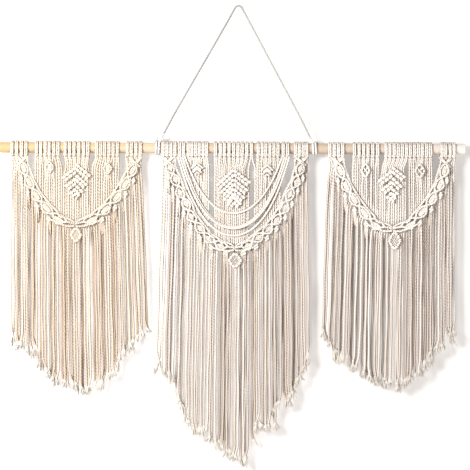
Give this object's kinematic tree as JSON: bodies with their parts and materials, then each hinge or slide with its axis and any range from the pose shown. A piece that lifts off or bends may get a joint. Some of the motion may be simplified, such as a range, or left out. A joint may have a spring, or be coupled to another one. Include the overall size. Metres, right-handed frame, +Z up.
{
  "type": "macrame wall hanging on a wooden dowel",
  "caption": "Wide cotton macrame wall hanging: knotted, fringed panels side by side on a wooden dowel that hangs from a cord.",
  "frame": {"origin": "underside of the hanging cord's top bend, where a hook or nail bears", "axes": "+X along the dowel to the right as the viewer faces the hanging, -Y the front, +Z up"},
  "size_m": [0.8895, 0.0322, 0.8791],
  "materials": {
    "dowel": "bare sanded pine",
    "macrame_cord": "twisted natural cotton cord",
    "sling_cord": "twisted white cotton cord"
  },
  "bodies": {
    "root": {"band_centre_left": "macrame_cord", "band_centre_right": "macrame_cord", "band_left_left": "macrame_cord", "band_left_right": "macrame_cord", "band_right_left": "macrame_cord", "band_right_right": "macrame_cord", "hanging_cord": "sling_cord", "heading_centre_1": "macrame_cord", "heading_centre_2": "macrame_cord", "heading_centre_3": "macrame_cord", "heading_centre_4": "macrame_cord", "heading_centre_5": "macrame_cord", "heading_centre_6": "macrame_cord", "heading_centre_7": "macrame_cord", "heading_left_1": "macrame_cord", "heading_left_2": "macrame_cord", "heading_left_3": "macrame_cord", "heading_left_4": "macrame_cord", "heading_left_5": "macrame_cord", "heading_right_1": "macrame_cord", "heading_right_2": "macrame_cord", "heading_right_3": "macrame_cord", "heading_right_4": "macrame_cord", "lashing_left": "sling_cord", "lashing_right": "sling_cord", "leaf_centre": "macrame_cord", "leaf_left": "macrame_cord", "leaf_right": "macrame_cord", "motif_centre_left": "macrame_cord", "motif_centre_right": "macrame_cord", "motif_left_left": "macrame_cord", "motif_left_right": "macrame_cord", "motif_right_left": "macrame_cord", "motif_right_right": "macrame_cord", "pendant_centre": "macrame_cord", "pendant_left": "macrame_cord", "pendant_right": "macrame_cord", "rod": "dowel", "sling_knot": "sling_cord", "strands_centre": "macrame_cord", "strands_left": "macrame_cord", "strands_right": "macrame_cord", "swag_1": "macrame_cord", "swag_2": "macrame_cord", "swag_3": "macrame_cord", "swag_4": "macrame_cord"}
  },
  "joints": []
}
